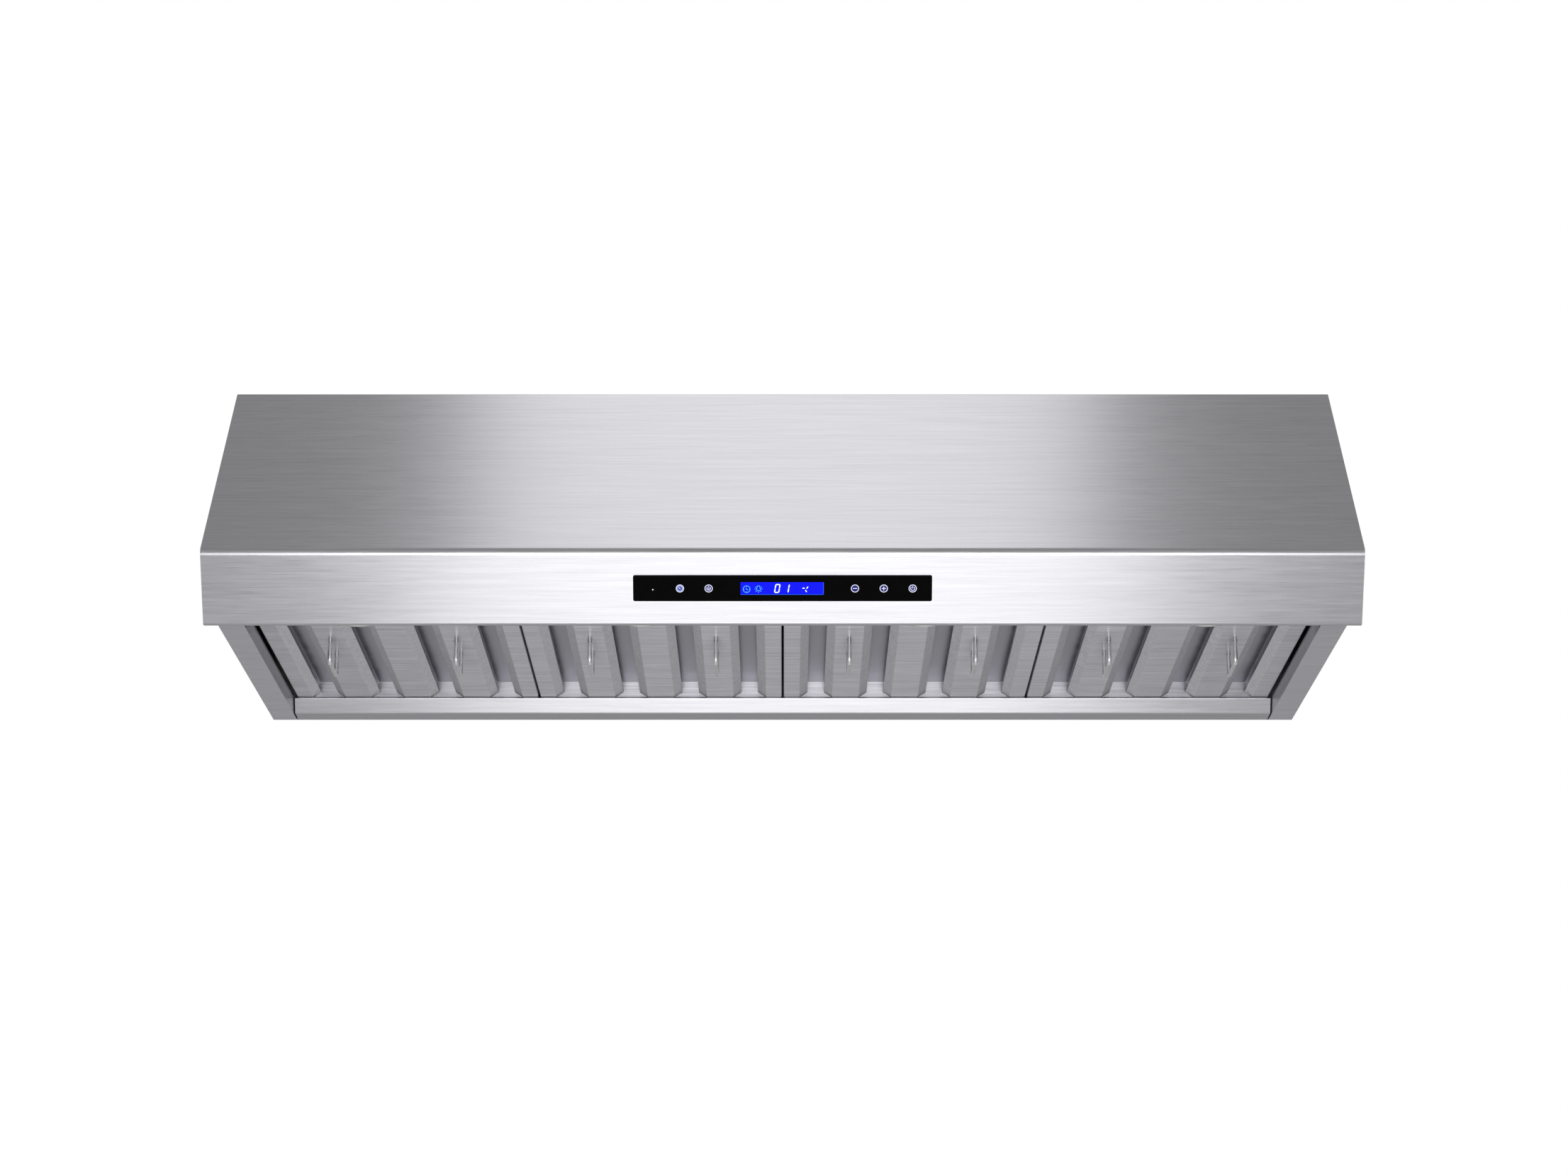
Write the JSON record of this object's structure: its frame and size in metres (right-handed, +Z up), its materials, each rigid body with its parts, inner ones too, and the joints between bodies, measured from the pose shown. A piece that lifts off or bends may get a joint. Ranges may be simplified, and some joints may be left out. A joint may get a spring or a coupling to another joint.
{
  "type": "under cabinet range hood",
  "caption": "Wide stainless range hood that screws up under a wall cabinet, with tilting baffle filters, a touch panel, lamps, blowers and a damped round duct collar.",
  "frame": {"origin": "centre of the four cabinet screw holes, on the outside of the flat top", "axes": "+X along the hood to the viewer's right, +Y towards the wall, +Z up"},
  "size_m": [1.213, 0.616, 0.3493],
  "materials": {
    "stainless": "brushed along the width",
    "polished_wire": "polished",
    "black_glass": "gloss black",
    "display_blue": "backlit blue",
    "circuit_board": "matte",
    "lamp_ring": "satin",
    "lamp_lens": "frosted",
    "galvanised": "zinc spangle",
    "impeller_sheet": "mill",
    "motor_black": "satin black",
    "laminations": "varnished",
    "shaft_steel": "ground",
    "capacitor_can": "drawn",
    "box_plastic": "moulded",
    "spring_steel": "rolled",
    "screw_zinc": "bright zinc"
  },
  "bodies": {
    "hood": {"back_panel": "galvanised", "blower_housing_left": "galvanised", "blower_housing_right": "galvanised", "canopy_skin": "stainless", "collecting_box": "galvanised", "control_shield": "galvanised", "damper_pin": "shaft_steel", "display_module": "display_blue", "duct_collar": "galvanised", "filter_clips": "spring_steel", "front_ledge": "stainless", "inlet_plate_left": "galvanised", "inlet_plate_right": "galvanised", "inlet_ring_left": "galvanised", "inlet_ring_right": "galvanised", "junction_box": "galvanised", "junction_cover": "galvanised", "lamp_bezel_1": "lamp_ring", "lamp_bezel_2": "lamp_ring", "lamp_bezel_3": "lamp_ring", "lamp_bezel_4": "lamp_ring", "lamp_lens_1": "lamp_lens", "lamp_lens_2": "lamp_lens", "lamp_lens_3": "lamp_lens", "lamp_lens_4": "lamp_lens", "motor_can_left": "motor_black", "motor_can_right": "motor_black", "motor_stator_left": "laminations", "motor_stator_right": "laminations", "pan_head_screws": "screw_zinc", "power_board_box": "box_plastic", "rear_rail": "stainless", "run_capacitors": "capacitor_can", "side_panel_left": "stainless", "side_panel_right": "stainless", "touch_board": "circuit_board", "touch_glass": "black_glass"},
    "filter_1": {"filter_1_frame": "stainless", "filter_1_front_baffles": "stainless", "filter_1_rear_baffles": "stainless", "filter_1_handles": "polished_wire"},
    "filter_2": {"filter_2_frame": "stainless", "filter_2_front_baffles": "stainless", "filter_2_rear_baffles": "stainless", "filter_2_handles": "polished_wire"},
    "filter_3": {"filter_3_frame": "stainless", "filter_3_front_baffles": "stainless", "filter_3_rear_baffles": "stainless", "filter_3_handles": "polished_wire"},
    "filter_4": {"filter_4_frame": "stainless", "filter_4_front_baffles": "stainless", "filter_4_rear_baffles": "stainless", "filter_4_handles": "polished_wire"},
    "blower_wheel_left": {"impeller_left": "impeller_sheet", "motor_rotor_left": "shaft_steel"},
    "blower_wheel_right": {"impeller_right": "impeller_sheet", "motor_rotor_right": "shaft_steel"},
    "damper_front": {"damper_flap_front": "galvanised"},
    "damper_rear": {"damper_flap_rear": "galvanised"}
  },
  "joints": [
    {"name": "filter_1_tilt", "type": "hinge", "parent": "hood", "child": "filter_1", "pos_m": [-0.43125, 0.151, -0.2657], "axis": [1, 0, 0], "range_deg": [0, 70]},
    {"name": "filter_2_tilt", "type": "hinge", "parent": "hood", "child": "filter_2", "pos_m": [-0.14375, 0.151, -0.2657], "axis": [1, 0, 0], "range_deg": [0, 70]},
    {"name": "filter_3_tilt", "type": "hinge", "parent": "hood", "child": "filter_3", "pos_m": [0.14375, 0.151, -0.2657], "axis": [1, 0, 0], "range_deg": [0, 70]},
    {"name": "filter_4_tilt", "type": "hinge", "parent": "hood", "child": "filter_4", "pos_m": [0.43125, 0.151, -0.2657], "axis": [1, 0, 0], "range_deg": [0, 70]},
    {"name": "blower_left_spin", "type": "hinge", "parent": "hood", "child": "blower_wheel_left", "pos_m": [-0.275, 0.017, -0.06], "axis": [0, 0, 1], "continuous": true},
    {"name": "blower_right_spin", "type": "hinge", "parent": "hood", "child": "blower_wheel_right", "pos_m": [0.275, 0.017, -0.06], "axis": [0, 0, 1], "continuous": true},
    {"name": "damper_front_swing", "type": "hinge", "parent": "hood", "child": "damper_front", "pos_m": [0, 0.045, 0.013], "axis": [-1, 0, 0], "range_deg": [0, 75]},
    {"name": "damper_rear_swing", "type": "hinge", "parent": "hood", "child": "damper_rear", "pos_m": [0, 0.045, 0.013], "axis": [1, 0, 0], "range_deg": [0, 75]}
  ]
}
